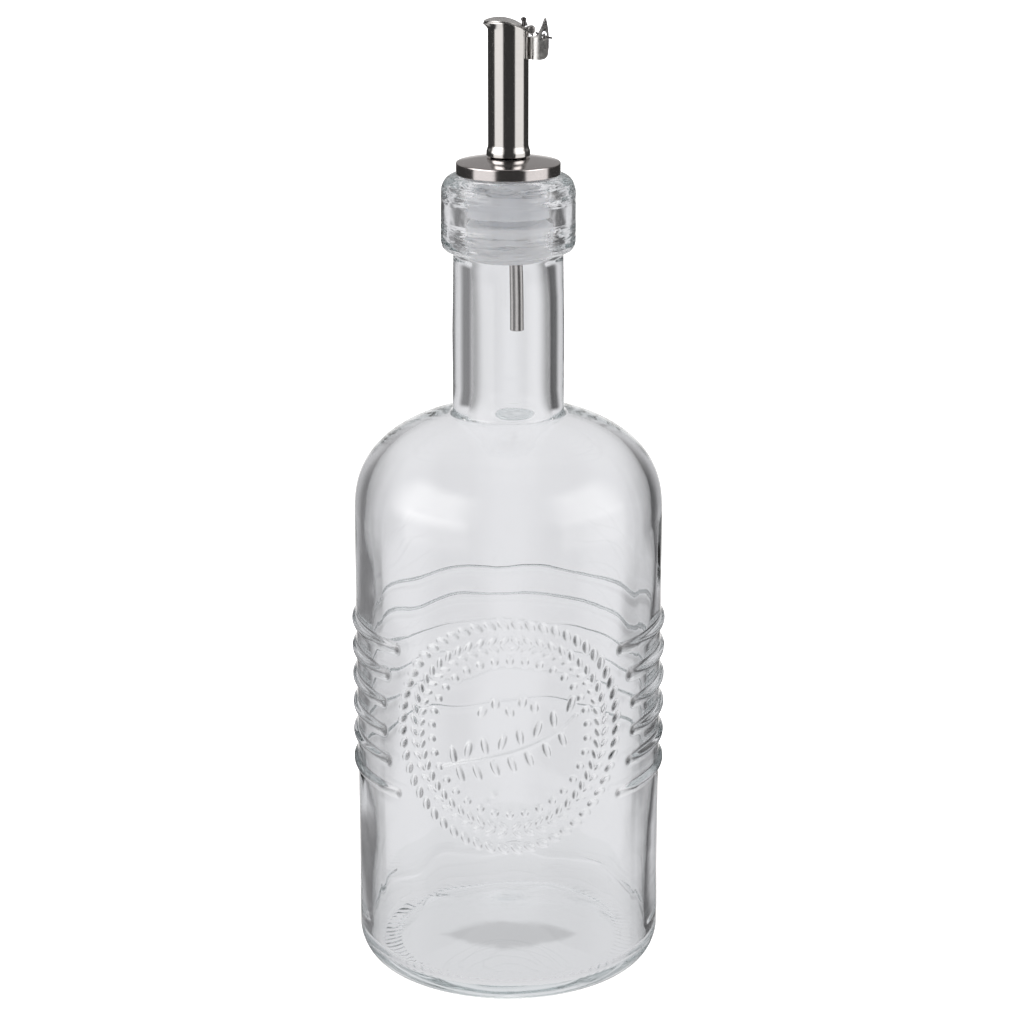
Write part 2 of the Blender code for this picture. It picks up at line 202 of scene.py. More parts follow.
bottleShape = {
    "bodyRadius": 37.9, "heelRadius": 38.05, "wall": 2.8,
    "shoulderBase": 114.8, "shoulderHeight": 26.15, "innerBase": 114.2, "innerHeight": 25.85,
    "neckRadius": 13.5, "neckBore": 9.4, "boreShift": 0.35, "boreLevels": (152, 160, 170, 177.5),
    "finishRadius": 16.2, "finishBore": 10.5, "finishBottom": 181.0, "finishRow": 0.6,
    "mouth": 198.85, "lipWide": 3.0, "lipHigh": 4.4, "innerLipWide": 0.7, "innerLipHigh": 1.8,
    "floor": 8.2, "floorEdge": 4.4, "floorCorner": 3.4,
    "footRadius": 32.45, "footHigh": 7.6, "footWide": 3.2,
    # The join of shoulder and neck on both sides, as (out from the neck, up from the top of the shoulder)
    "innerFlare": [(2.4, -0.85), (1.5, -0.25), (0.9, 0.8), (0.45, 2.2), (0.15, 4.0), (0.0, 6.0)],
    "outerFlare": [(0.02, 0.9), (0.1, 0.4), (0.3, 0.12)],
    # The outside of the neck below the finish, as (out from the neck, height)
    "neckSide": [(0.5, 180.9), (0.05, 180.5), (-0.2, 179.6), (-0.1, 172.0), (0.1, 161.0), (0.05, 150.0)],
    "lowSide": [(-0.03, 30.0), (0.0, 22.0)],
    # The hollow under the base from the foot to the middle, as (radius, height)
    "pushUp": [(28.55, 0.15), (27.45, 0.5), (24.0, 1.2), (20.0, 1.9), (16.0, 2.6), (12.0, 3.2), (8.0, 3.7),
               (4.0, 4.05), (0.0, 4.2)],
    "ridgeRows": (8.4, 9.0, 9.6, 10.2, 10.8, 11.4, 12.0, 12.6),
    "bandTop": 102.5, "bandBottom": 38.5, "bandRows": 116,
    "frontAngle": 112, "frontSteps": 150, "backSteps": 80,
}


def shoulderPoints(neck, body, base, height, count):
    points = []
    for i in range(count + 1):
        up = max(0.0, math.cos(math.pi / 2 * i / count))
        points.append((neck + (body - neck) * max(0.0, 1 - up ** 2.79) ** 0.69, base + height * up))
    return points


def curveThrough(points, steps):
    # A smooth curve through the points
    curve = []
    for i in range(len(points) - 1):
        a, b, c, d = points[max(i - 1, 0)], points[i], points[i + 1], points[min(i + 2, len(points) - 1)]
        for k in range(steps):
            t = k / steps
            curve.append(tuple(
                b[j] + 0.5 * t * (c[j] - a[j] + t * (2 * a[j] - 5 * b[j] + 4 * c[j] - d[j]
                                                     + t * (3 * b[j] - a[j] - 3 * c[j] + d[j])))
                for j in (0, 1)))
    return curve + [points[-1]]


def bottleOutline(s):
    # From the middle of the floor up the inside, over the mouth and down the outside to the push-up
    bore = s["bodyRadius"] - s["wall"]
    edge, corner = s["floorEdge"], s["floorCorner"]
    flat, rising = bore - corner, s["floor"] - edge
    outline = [(r, edge + rising * (1 - (r / flat) ** 2) ** 1.3) for r in range(0, 31, 3)]
    outline += arcPoints((flat, edge + corner), (corner, corner), -90, 0, 8)
    start = edge + corner
    outline += [(bore, z) for z in s["ridgeRows"]]
    outline += [(bore, start + (s["innerBase"] - start) * i / 15) for i in range(1, 15)]
    inner = reversed(shoulderPoints(s["neckBore"], bore, s["innerBase"], s["innerHeight"], 32))
    outline += [p for p in inner if p[0] > s["neckBore"] + s["innerFlare"][0][0] + 0.5]
    top = s["shoulderBase"] + s["shoulderHeight"]
    outline += [(s["neckBore"] + out, top + up) for out, up in curveThrough(s["innerFlare"], 3)]
    outline += [(s["neckBore"], z) for z in s["boreLevels"]]
    outline += [(s["neckBore"] + 0.4, 179.0), (s["finishBore"] - 0.2, 180.4)]
    outline += [(s["finishBore"], 181.4 + s["finishRow"] * i) for i in range(24)]
    lip = s["finishRadius"] - s["lipWide"]
    innerLip = lip - s["innerLipWide"]
    outline += arcPoints((innerLip, s["mouth"] - s["innerLipHigh"]),
                         (innerLip - s["finishBore"], s["innerLipHigh"]), 180, 90, 5)
    outline += arcPoints((lip, s["mouth"] - s["lipHigh"]), (s["lipWide"], s["lipHigh"]), 90, 0, 9)
    outline += [(s["finishRadius"], 194.0 - s["finishRow"] * i) for i in range(17)]
    outline += arcPoints((s["finishRadius"] - 1.3, s["finishBottom"] + 2.5), (1.3, 2.5), 0, -90, 6)
    outline += [(s["neckRadius"] + out, z) for out, z in s["neckSide"]]
    outline += [(s["neckRadius"] + out, top + up) for out, up in s["outerFlare"]]
    outer = shoulderPoints(s["neckRadius"], s["bodyRadius"], s["shoulderBase"], s["shoulderHeight"], 36)
    outline += [p for p in outer if p[0] > s["neckRadius"] + s["outerFlare"][-1][0] + 0.3]
    outline += [(s["bodyRadius"], 108.5)]
    step = (s["bandTop"] - s["bandBottom"]) / s["bandRows"]
    outline += [(s["bodyRadius"], s["bandTop"] - step * i) for i in range(s["bandRows"] + 1)]
    outline += [(s["bodyRadius"] + out, z) for out, z in s["lowSide"]] + [(s["heelRadius"], 13.0)]
    heel = (s["heelRadius"] - s["footRadius"], s["footHigh"])
    outline += arcPoints((s["footRadius"], s["footHigh"]), heel, 0, -90, 9)
    return outline + [(s["footRadius"] - s["footWide"], 0.0)] + s["pushUp"]


medallion = {
    "centreZ": 70.5, "centreU": 0.4, "clearRadius": 34.2,
    "ropeRadius": 28.4, "ropeCount": 56, "beadRadius": 19.5, "beadCount": 34,
    "leafRadius": 23.6, "leafCount": 26,
    "bottomDots": [(-3.5, 56.2, 0.85, 0.7, 0.3, 0.5), (-4.9, 54.1, 0.6, 0.5, 0.3, 0.4)],
    "ribs": 6, "ribTop": 88.9, "ribPitch": 7.37, "ribHeight": 1.0, "ribHalf": 1.3, "ribWear": 0.4,
}


def medallionMotifs(m):
    # Every raised mark as (around, height, half length, half width, turn, relief), in mm and radians
    motifs = []

    def polar(radius, angle):
        return m["centreU"] + radius * math.cos(angle), m["centreZ"] + radius * math.sin(angle)

    for i in range(m["ropeCount"]):
        angle = 2 * math.pi * (i + 0.5) / m["ropeCount"]
        u, v = polar(m["ropeRadius"], angle)
        motifs.append((u, v, 1.65, 0.95, angle + math.radians(48), 0.56))
    for i in range(m["beadCount"]):
        angle = 2 * math.pi * (i + 0.5) / m["beadCount"]
        u, v = polar(m["beadRadius"], angle)
        motifs.append((u, v, 1.0, 0.92, angle, 0.54))
    for i in range(m["leafCount"]):  # leaves that climb both sides from the bottom to the top
        climb = math.pi * (i + 0.6) / m["leafCount"]
        for side in (-1, 1):
            angle = -math.pi / 2 + side * climb
            tangent = angle + side * math.pi / 2
            for across in (-1, 1):
                u, v = polar(m["leafRadius"] + 1.0 * across, angle)
                motifs.append((u, v, 1.4, 0.66, tangent - side * across * math.radians(38), 0.48))
    return motifs + m["bottomDots"]


oliveSprig = {
    "stem": [(-15.6, 62.0), (-12.0, 63.4), (-8.0, 64.4), (-3.5, 65.6), (1.0, 66.8), (5.5, 68.4), (10.0, 70.4),
             (14.0, 72.8), (16.6, 75.0)],
    # Leaves and olives as (around, height, turn in degrees)
    "leaves": [(-13.4, 65.3, 98), (-11.6, 60.8, -72), (-9.6, 67.2, 76), (-7.4, 61.6, 112), (-5.6, 68.4, 100),
               (-3.2, 63.0, -68), (-1.4, 69.6, 74), (0.9, 64.0, 110), (2.8, 70.9, 98), (5.0, 65.3, -70),
               (7.0, 72.6, 72), (9.2, 67.2, 108), (10.9, 74.8, 96), (13.1, 69.6, -72), (15.3, 78.0, 70)],
    "olives": [(-6.2, 77.0, 60), (-3.0, 79.2, 85), (0.4, 77.2, 110), (3.4, 79.6, 80), (6.2, 78.2, 100)],
    "leafSize": (2.3, 0.86), "oliveSize": (1.5, 1.0), "strokeHalf": 0.55, "relief": 0.56,
}


def sprigMarks(sprig):
    # The leaves and olives of the sprig, as motifs like those of the medallion
    marks = []
    for kind, size in (("leaves", sprig["leafSize"]), ("olives", sprig["oliveSize"])):
        marks += [(u, v, *size, math.radians(turn), sprig["relief"]) for u, v, turn in sprig[kind]]
    return marks


def bump(du, dv, long, wide, turn):
    # A smooth mound, 1 in the middle and 0 at its elliptical edge
    along = (du * math.cos(turn) + dv * math.sin(turn)) / long
    across = (dv * math.cos(turn) - du * math.sin(turn)) / wide
    return np.clip(1 - along ** 2 - across ** 2, 0, 1) ** 0.6


def lineDistance(u, v, start, end):
    du, dv = end[0] - start[0], end[1] - start[1]
    share = np.clip(((u - start[0]) * du + (v - start[1]) * dv) / (du * du + dv * dv), 0, 1)
    return np.hypot(u - start[0] - share * du, v - start[1] - share * dv)


def reliefHeight(u, v, m, sprig):
    height = np.zeros_like(u)
    for motif in medallionMotifs(m) + sprigMarks(sprig):
        near = np.hypot(u - motif[0], v - motif[1]) < 3.0
        raised = bump(u[near] - motif[0], v[near] - motif[1], *motif[2:5]) * motif[5]
        height[near] = np.maximum(height[near], raised)
    centre = np.hypot(u - m["centreU"], v - m["centreZ"]) < m["beadRadius"]
    inner = np.zeros(int(centre.sum()))
    for start, end in zip(sprig["stem"], sprig["stem"][1:]):
        share = lineDistance(u[centre], v[centre], start, end) / sprig["strokeHalf"]
        inner = np.maximum(inner, sprig["relief"] * np.clip(1 - share ** 2, 0, 1) ** 0.7)
    height[centre] = np.maximum(height[centre], inner)
    for i in range(m["ribs"]):
        level = m["ribTop"] - m["ribPitch"] * i
        chord = math.sqrt(m["clearRadius"] ** 2 - (level - m["centreZ"]) ** 2) + m["ribHalf"]
        distance = np.hypot(np.maximum(0, chord - np.abs(u)), v - level)
        worn = 0.5 + 0.5 * rise(np.abs(u), chord, chord + 6)
        if i > 1:
            worn *= 1 - m["ribWear"] * rise(np.abs(u), 62, 76)
        rib = np.clip(1 - (distance / m["ribHalf"]) ** 2, 0, 1) ** 0.65
        height = np.maximum(height, worn * m["ribHeight"] * rib)
    return height


glassWaves = {  # waves as (depth in mm, number round the bottle, phase, length in mm along)
    "wall": [(0.16, 5, 0.9, 8.5), (0.1, 9, -1.7, 6.1), (0.09, 14, 0.4, -9.7), (0.08, 3, 0.0, 4.6)],
    "finish": [(0.05, 7, 0.6, 2.3), (0.03, 12, 0.0, -1.5)],
    "floor": [(0.2, 7, 0.0, 4.0), (0.12, 4, 1.0, -3.0)],
    "fold": [(0.7, 6, 0.5, 1.0), (0.45, 11, -1.0, 1.0), (0.25, 19, 0.0, 1.0)],
    "ridge": [(0.8, 5, 2.0, 1.0), (0.5, 9, 0.0, 1.0)],
    "ridgeLevel": 10.3, "ridgeHalf": 1.0, "ridgeHeight": 0.6, "scallopCount": 90, "scallopDepth": 0.07,
    "markLevel": 189.2, "markHalf": 3.4, "markDepths": (0.12, 0.03),
}


def waves(terms, turn, along=0):
    return sum(depth * np.sin(count * turn + phase + along / length)
               for depth, count, phase, length in terms)


def sculptBottle(piece, s, w, m, sprig):
    places = coordinates(piece) / mm
    radius = np.hypot(places[:, 0], places[:, 1])
    turn = np.arctan2(places[:, 0], -places[:, 1])
    away = np.abs(turn)
    z = places[:, 2]
    inner = radius < s["bodyRadius"] - s["wall"] + 0.2
    grow = np.zeros_like(radius)
    # Outside of the body: medallion and ribs
    band = (radius > s["bodyRadius"] - 0.5) & (z > s["bandBottom"] - 0.1) & (z < s["bandTop"] + 0.1)
    relief = reliefHeight(s["bodyRadius"] * turn[band], z[band], m, sprig)
    grow[band] = s["bodyRadius"] - radius[band] + relief
    # Inside of the body: waves, weaker near the base
    wall = inner & (radius > 20) & (z > 16) & (z < 118)
    fade = rise(z, 16, 26) * rise(z, 118, 106) * (0.45 + 0.55 * rise(z, 36, 50))
    grow[wall] += (waves(w["wall"], turn, z) * fade)[wall]
    # Finish: facets and mould marks, stronger near its two edges
    finish = (z > 181) & (z < 197.5)
    swell = rise(z, 181, 184) * rise(z, 197.5, 194.5)
    depth = np.where(np.abs(z - w["markLevel"]) > w["markHalf"], *w["markDepths"])
    marks = depth * np.sin(z / 0.52 + 3 * turn) * np.sin(6 * turn + 1.1)
    facet = np.abs(waves(w["finish"], turn, z) + marks)
    grow[finish] += (np.where(radius < 12, facet, -0.4 * facet) * swell)[finish]
    # Inside of the base: ripples, with a fold and a ridge at the back and small scallops in front
    base = inner & (z > s["floorEdge"] - 0.1) & (z < 12)
    ripple = waves(w["floor"], turn, radius) * (radius / 35) ** 2 * (0.3 + 0.7 * rise(away, 0.9, 1.4))
    fold = waves(w["fold"], turn) * rise(away, 1.3, 1.9) * rise(radius, 27, 31)
    ridge = inner & (radius > 30) & (z > 8) & (z < 13)
    middle = w["ridgeLevel"] + waves(w["ridge"], turn)
    crest = np.clip(1 - ((z - middle) / w["ridgeHalf"]) ** 2, 0, 1)
    grow[ridge] -= (w["ridgeHeight"] * rise(away, 1.2, 1.7) * crest)[ridge]
    front = inner & (radius > 27) & (z > s["floorEdge"] - 0.5) & (z < 8)
    scallop = w["scallopDepth"] * np.sin(w["scallopCount"] * turn)
    grow[front] += (scallop * rise(away, 0.85, 0.65) * rise(radius, 27, 30))[front]
    # Bore of the neck: a little off the middle
    bore = (radius < 12) & (z > 138) & (z < 180)
    shift = np.where(bore, s["boreShift"] * rise(z, 138, 144) * rise(z, 178, 168), 0)
    share = np.where(radius > 0.001, (radius + grow) / np.maximum(radius, 0.001), 1)
    height = z + np.where(base, ripple + fold, 0)
    moveVertices(piece, np.column_stack((places[:, 0] * share + shift, places[:, 1] * share, height)) * mm)


def refineFaces(piece, s, m, sprig):
    # Halves the faces that carry the fine marks of the medallion
    def marked(u, v):
        reach = np.hypot(u - m["centreU"], v - m["centreZ"])
        near = (np.abs(reach - m["ropeRadius"]) < 1.7) | (np.abs(reach - m["leafRadius"]) < 2.2)
        near |= np.abs(reach - m["beadRadius"]) < 1.0
        for start, end in zip(sprig["stem"], sprig["stem"][1:]):
            near |= lineDistance(u, v, start, end) < sprig["strokeHalf"] + 0.35
        for motif in sprigMarks(sprig):
            near |= bump(u - motif[0], v - motif[1], motif[2] + 0.4, motif[3] + 0.4, motif[4]) > 0
        return near

    centres = np.array([face.center for face in piece.data.polygons]) / mm
    turn = np.arctan2(centres[:, 0], -centres[:, 1])
    outer = np.hypot(centres[:, 0], centres[:, 1]) > s["bodyRadius"] - 0.5
    chosen = marked(s["bodyRadius"] * turn, centres[:, 2]) & outer
    selectFaces(piece, chosen)
    bpy.ops.mesh.subdivide(number_cuts=1)
    bpy.ops.mesh.select_mode(type="VERT")
    bpy.ops.object.mode_set(mode="OBJECT")


def buildBottle(s):
    half = math.radians(s["frontAngle"]) / 2
    bottle = drawOutline("glassBottle", bottleOutline(s), turn=half)  # spin turns clockwise seen from above
    spinRound(s["frontSteps"], 2 * half)
    spinRound(s["backSteps"], 2 * math.pi - 2 * half)
    closeShell()
    refineFaces(bottle, s, medallion, oliveSprig)
    sculptBottle(bottle, s, glassWaves, medallion, oliveSprig)
    activate(bottle)
    bpy.ops.object.shade_smooth()
    bottle.data.calc_loop_triangles()
    print("glass bottle", len(bottle.data.loop_triangles))
    return bottle


# Stopper

stopperShape = {
    "top": 198.8, "bottom": 178.7, "lower": 9.1, "pourBore": (-3.3, 2.4), "airBore": (1.9, 1.72),
    # Each ring as (upper level, lower level, radius), and the radius of the groove under each but the last
    "rings": [(198.8, 195.3, 10.4), (195.0, 189.7, 10.3), (187.9, 185.3, 10.45),
              (185.0, 183.7, 10.4), (183.4, 181.9, 10.2)],
    "grooves": [10.0, 7.6, 10.0, 9.9],
}


def buildStopper(s):
    outline = [(0, s["top"]), (6.0, s["top"])]
    for i, (upper, lower, radius) in enumerate(s["rings"]):
        outline += [(radius - 0.35, upper), (radius - 0.1, upper - 0.12), (radius, upper - 0.4),
                    (radius, (upper + lower) / 2), (radius, lower + 0.4), (radius - 0.1, lower + 0.12),
                    (radius - 0.35, lower)]
        if i < len(s["grooves"]):
            groove = s["grooves"][i]
            outline += [(groove + 0.1, lower - 0.06), (groove, lower - 0.2),
                        (groove, s["rings"][i + 1][0] + 0.2), (groove + 0.1, s["rings"][i + 1][0] + 0.06)]
    outline += [(s["lower"], 181.0), (s["lower"] - 0.5, 179.7), (s["lower"] - 1.0, 179.05),
                (s["lower"] - 1.8, s["bottom"]), (3.0, s["bottom"]), (0, s["bottom"])]
    stopper = drawOutline("stopperPlug", outline)
    spinRound(72)
    closeShell()
    for name, (x, radius) in (("pourHole", s["pourBore"]), ("airHole", s["airBore"])):
        cutBy(stopper, addDrum(name, radius, 40, (x, 0, 190), 32))
    print("stopper", len(stopper.data.polygons))
    return settle(stopper)


# Collar

collarShape = {
    "radius": 12.5, "bottom": 199.1, "rim": 202.0, "dome": 1.4, "bore": 4.24, "edge": 0.4, "lowEdge": 0.2,
    "domeRings": (11.9, 11.2, 10.0, 8.6, 7.2, 6.0, 5.2, 4.24),
}


def buildCollar(s):
    edge, low = s["edge"], s["lowEdge"]
    outline = [(r, s["bottom"]) for r in (s["bore"], s["radius"] - 2.0, s["radius"] - low - 0.1)]
    outline += arcPoints((s["radius"] - low, s["bottom"] + low), (low, low), -90, 0, 4)
    outline += [(s["radius"], s["bottom"] + low + 0.08), (s["radius"], s["rim"] - edge - 0.03)]
    outline += arcPoints((s["radius"] - edge, s["rim"] - edge + 0.05), (edge, edge), 0, 82, 6)
    outline += [(r, s["rim"] + s["dome"] * (1 - (r / s["radius"]) ** 2)) for r in s["domeRings"]]
    collar = drawOutline("collarCap", outline, closed=True)
    spinRound(128)
    closeShell()
    evenNormals(settle(collar, 40))
    print("collar", len(collar.data.polygons))
    return collar


# Air tube

airTubeShape = {"x": 1.9, "radius": 1.65, "wall": 0.3, "bottom": 161.4, "top": 198.8}


def buildAirTube(s):
    inner = s["radius"] - s["wall"]
    outline = [(s["radius"], s["top"]), (s["radius"], 180.0), (s["radius"], s["bottom"] + 0.1)]
    outline += [(s["radius"] - 0.08, s["bottom"]), (inner + 0.05, s["bottom"]), (inner, s["bottom"] + 0.1)]
    outline += [(inner, 180.0), (inner, s["top"])]
    tube = drawOutline("airTube", outline, closed=True)
    spinRound(40)
    closeShell()
    tube.location = (s["x"] * mm, 0, 0)
    print("air tube", len(tube.data.polygons))
    return settle(tube)


# Spout

mouthArc = {"x": -2.5, "z": 223.9, "lidRadius": 11.6, "lidThickness": 0.34, "gap": 0.06}

spoutShape = {
    "radius": 4.84, "wall": 0.6, "bottom": 203.5, "top": 236.5, "foot": 0.4,
    "lipStart": 233.1, "lipTop": 234.75, "lipReach": 1.6,
}


def addMouthCutter(radius):
    # A block with a drum cut out of its underside, which takes off all that stands above the arc
    startObject()
    bpy.ops.mesh.primitive_cube_add(size=1, location=(-1.5 * mm, 0, 235.5 * mm))
    block = called("mouthCutter")
    block.scale = (18 * mm, 16 * mm, 10 * mm)
    applyPlace()
    drum = addDrum("mouthDrum", radius, 20, (mouthArc["x"], 0, mouthArc["z"]), 128, alongY=True)
    cutBy(block, drum)
    return block


def buildSpout(s):
    foot = s["radius"] + s["foot"]
    bore = s["radius"] - s["wall"]
    levels = [s["top"]] + [s["lipTop"] - (s["lipTop"] - s["lipStart"]) * i / 10 for i in range(11)]
    outline = [(s["radius"], z) for z in levels]
    outline += [(s["radius"], z) for z in (228.0, 220.0, 212.0, 206.2)]
    outline += [(s["radius"] + 0.05, 205.7), (s["radius"] + 0.2, 205.2), (foot - 0.05, 204.8), (foot, 204.4),
                (foot, s["bottom"] + 0.15), (foot - 0.15, s["bottom"]), (bore, s["bottom"])]
    outline += [(bore, z) for z in (212.0, 222.0)] + [(bore, z) for z in reversed(levels)]
    spout = drawOutline("pourSpout", outline, closed=True)
    spinRound(96)
    closeShell()
    places = coordinates(spout) / mm
    climb = np.clip((places[:, 2] - s["lipStart"]) / (s["lipTop"] - s["lipStart"]), 0, 1)
    side = np.clip(-places[:, 0] / np.hypot(places[:, 0], places[:, 1]), 0, 1) ** 3
    places[:, 0] -= s["lipReach"] * side * climb ** 1.5
    moveVertices(spout, places * mm)
    cutBy(spout, addMouthCutter(mouthArc["lidRadius"] - mouthArc["lidThickness"] - mouthArc["gap"]))
    softenEdges(spout, 0.07, 50)
    print("spout", len(spout.data.polygons))
    return evenNormals(settle(spout, 40))


# Clevis

clevisShape = {
    "bendX": 7.65, "bendReach": 2.9, "bendRadius": 2.4, "sheet": 0.5, "endX": 9.6, "bottom": 226.2,
    "eye": (8.4, 231.75, 0.6, 1.15),
    # The pointed ear from its heel up over its tip and down to the spout
    "ear": [(9.5, 229.4), (9.5, 231.6), (9.4, 232.8), (9.2, 234.0), (9.02, 234.9), (8.94, 235.25),
            (8.8, 235.46), (8.62, 235.48), (8.44, 235.38), (8.3, 235.05), (8.0, 234.2), (7.7, 233.4),
            (7.4, 232.7), (7.1, 232.1), (6.85, 231.7), (6.5, 231.45), (6.1, 231.35)],
}


def buildClevis(s):
    low = s["bottom"]
    back = s["bendX"] - s["bendReach"] - 0.5
    side = [(back, low), (7.5, low)] + arcPoints((7.9, low + 1.75), (1.45, 1.65), -72, -8, 6)
    side += s["ear"] + [(back, s["ear"][-1][1])]
    clevis = addSheetShape("hingeClevis", side, 8)
    # The bent strip: what lies inside its outer line and outside its inner line, seen from above
    for inset, height, beyond, how in ((0.0, 14, 0, "INTERSECT"), (s["sheet"], 16, 2, "DIFFERENCE")):
        half, end = s["bendRadius"] - inset, s["endX"] + beyond
        bend = arcPoints((s["bendX"], 0), (s["bendReach"] - inset, half), 90, 270, 24)
        block = addSheetShape("stripPlan", [(end, half)] + bend + [(end, -half)], height, alongY=False)
        block.location = (0, 0, 231 * mm)
        cutBy(clevis, block, how)
    x, z, wide, high = s["eye"]
    eye = addDrum("eyeHole", 1, 8, (0, 0, 0), 28, alongY=True)
    eye.scale = (wide, 1, high)  # an upright ellipse
    eye.location = (x * mm, 0, z * mm)
    cutBy(clevis, eye)
    softenEdges(clevis, 0.06, 50)
    print("clevis", len(clevis.data.polygons))
    return evenNormals(settle(clevis, 40))


# Flap: lid with its tab and knuckle, wire and knob

lidShape = {
    "planX": -0.75, "planRadius": 5.05, "rings": (0.25, 0.45, 0.7, 0.8, 0.8, 0.8, 0.7),
    "tabStart": 3.4, "tabEnd": 5.9, "tabWidth": 3.0, "tabDrop": 0.02,
    "knuckle": (5.4, 233.0, 0.95), "knuckleEdge": 0.3,
    "tang": [(3.9, 233.35), (4.6, 233.75), (5.2, 233.9), (5.75, 233.85), (6.2, 233.5), (6.3, 233.0),
             (6.0, 232.4), (5.6, 232.05), (5.2, 231.95), (5.0, 232.2), (4.95, 232.45), (4.4, 232.85)],
}


def arcHeight(x, lift=0.0):
    reach = mouthArc["lidRadius"] + lift
    return mouthArc["z"] + np.sqrt(np.maximum(0.01, reach ** 2 - (x - mouthArc["x"]) ** 2))


def bendToArc(piece, lift=0.0):
    places = coordinates(piece) / mm
    places[:, 2] = arcHeight(places[:, 0], lift)
    moveVertices(piece, places * mm)


def buildLid(s):
    startObject()
    bpy.ops.mesh.primitive_circle_add(vertices=72, radius=s["planRadius"] * mm, fill_type="NGON",
                                      location=(s["planX"] * mm, 0, 0))
    lid = called("flapLid")
    applyPlace()
    bpy.ops.object.mode_set(mode="EDIT")
    bpy.ops.mesh.select_all(action="SELECT")
    for width in s["rings"]:
        bpy.ops.mesh.inset(thickness=width * mm, depth=0)
    bpy.ops.mesh.poke()
    bpy.ops.object.mode_set(mode="OBJECT")
    bendToArc(lid)
    applyModifier(lid, "sheet", "SOLIDIFY", thickness=mouthArc["lidThickness"] * mm, offset=-1)
    startObject()
    bpy.ops.mesh.primitive_grid_add(x_subdivisions=12, y_subdivisions=4, size=1,
                                    location=((s["tabStart"] + s["tabEnd"]) / 2 * mm, 0, 0))
    tab = called("lidTab")
    tab.scale = ((s["tabEnd"] - s["tabStart"]) * mm, s["tabWidth"] * mm, 1)
    applyPlace()
    bendToArc(tab, -s["tabDrop"])
    thickness = mouthArc["lidThickness"] - s["tabDrop"]
    applyModifier(tab, "sheet", "SOLIDIFY", thickness=thickness * mm, offset=-1)
    x, z, radius = s["knuckle"]
    knuckle = addDrum("lidKnuckle", radius, s["tabWidth"] + 0.1, (x, 0, z), 40, alongY=True)
    softenEdges(knuckle, s["knuckleEdge"], segments=3)
    selectFaces(knuckle, [abs(face.normal.y) > 0.99 for face in knuckle.data.polygons])
    bpy.ops.mesh.inset(thickness=0.16 * mm, depth=0)
    bpy.ops.mesh.inset(thickness=0.04 * mm, depth=-0.4 * mm)
    bpy.ops.mesh.select_mode(type="VERT")
    bpy.ops.object.mode_set(mode="OBJECT")
    tang = addSheetShape("lidTang", s["tang"], s["tabWidth"] - 0.06)
    for part in (tab, knuckle, tang):
        cutBy(lid, part, "UNION")
    softenEdges(lid, 0.05, 55)
    print("lid", len(lid.data.polygons))
    return evenNormals(settle(lid, 40))


wireShape = {
    "points": [(6.42, 232.38), (7.0, 232.0), (7.7, 231.7), (8.4, 231.5), (9.3, 231.22), (10.3, 231.0)],
    "radius": 0.25, "pinRadius": 0.36, "pinLength": 5.6, "pin": (8.4, 231.5),
}


def buildWire(s):
    startObject()
    bpy.ops.curve.primitive_bezier_curve_add(radius=mm)
    wire = called("flapWire")
    spline = wire.data.splines[0]
    spline.bezier_points.add(len(s["points"]) - 2)
    for point, (x, z) in zip(spline.bezier_points, s["points"]):
        point.co = (x * mm, 0, z * mm)
        point.handle_left_type = point.handle_right_type = "AUTO"
    wire.data.dimensions = "3D"
    wire.data.bevel_depth = s["radius"] * mm
    wire.data.bevel_resolution = 5
    wire.data.resolution_u = 6
    wire.data.use_fill_caps = True
    bpy.ops.object.convert(target="MESH")
    pin = addDrum("crossPin", s["pinRadius"], s["pinLength"], (s["pin"][0], 0, s["pin"][1]), 28, alongY=True)
    softenEdges(pin, 0.1, segments=3)
    cutBy(wire, pin, "UNION")
    print("wire", len(wire.data.polygons))
    return settle(wire)


knobShape = {
    "place": (3.6, 235.4), "radius": 0.54, "wide": 0.68, "seat": 0.6,
    "postEnds": (0.74, 0.46), "postDepth": 1.3, "postShift": (0.15, -0.35), "postLean": -12,
}


def buildKnob(s):
    (x, z), radius, wide = s["place"], s["radius"], s["wide"]
    startObject()
    bpy.ops.mesh.primitive_uv_sphere_add(segments=32, ring_count=20, radius=radius * mm)
    knob = called("flapKnob")
    knob.scale = (wide / radius, wide / radius, 1)
    applyPlace()
    places = coordinates(knob) / mm
    seat = -s["seat"] * radius
    flat = places[:, 2] < seat
    places[flat, 2] = seat + (places[flat, 2] - seat) * 0.3  # the flattened underside of the ball
    moveVertices(knob, (places + [x, 0, z]) * mm)
    startObject()
    (low, high), (across, up) = s["postEnds"], s["postShift"]
    bpy.ops.mesh.primitive_cone_add(vertices=32, radius1=low * mm, radius2=high * mm,
                                    depth=s["postDepth"] * mm,
                                    location=((x + across) * mm, 0, (z - radius + up) * mm),
                                    rotation=(0, math.radians(s["postLean"]), 0))
    post = called("knobPost")
    applyPlace()
    cutBy(knob, post, "UNION")
    print("knob", len(knob.data.polygons))
    return settle(knob)


# Materials

def linkedNode(material, kind, values=None, links=None):
    node = material.node_tree.nodes.new(kind)
    for key, value in (values or {}).items():
        if isinstance(key, int) or key in node.inputs:
            node.inputs[key].default_value = value
        else:
            setattr(node, key, value)
    for key, socket in (links or {}).items():
        material.node_tree.links.new(socket, node.inputs[key])
    return node


def mathNode(tree, operation, *values):
    node = tree.nodes.new("ShaderNodeMath")
    node.operation = operation
    for i, value in enumerate(values):
        if isinstance(value, (int, float)):
            node.inputs[i].default_value = value
        else:
            tree.links.new(value, node.inputs[i])
    return node.outputs[0]


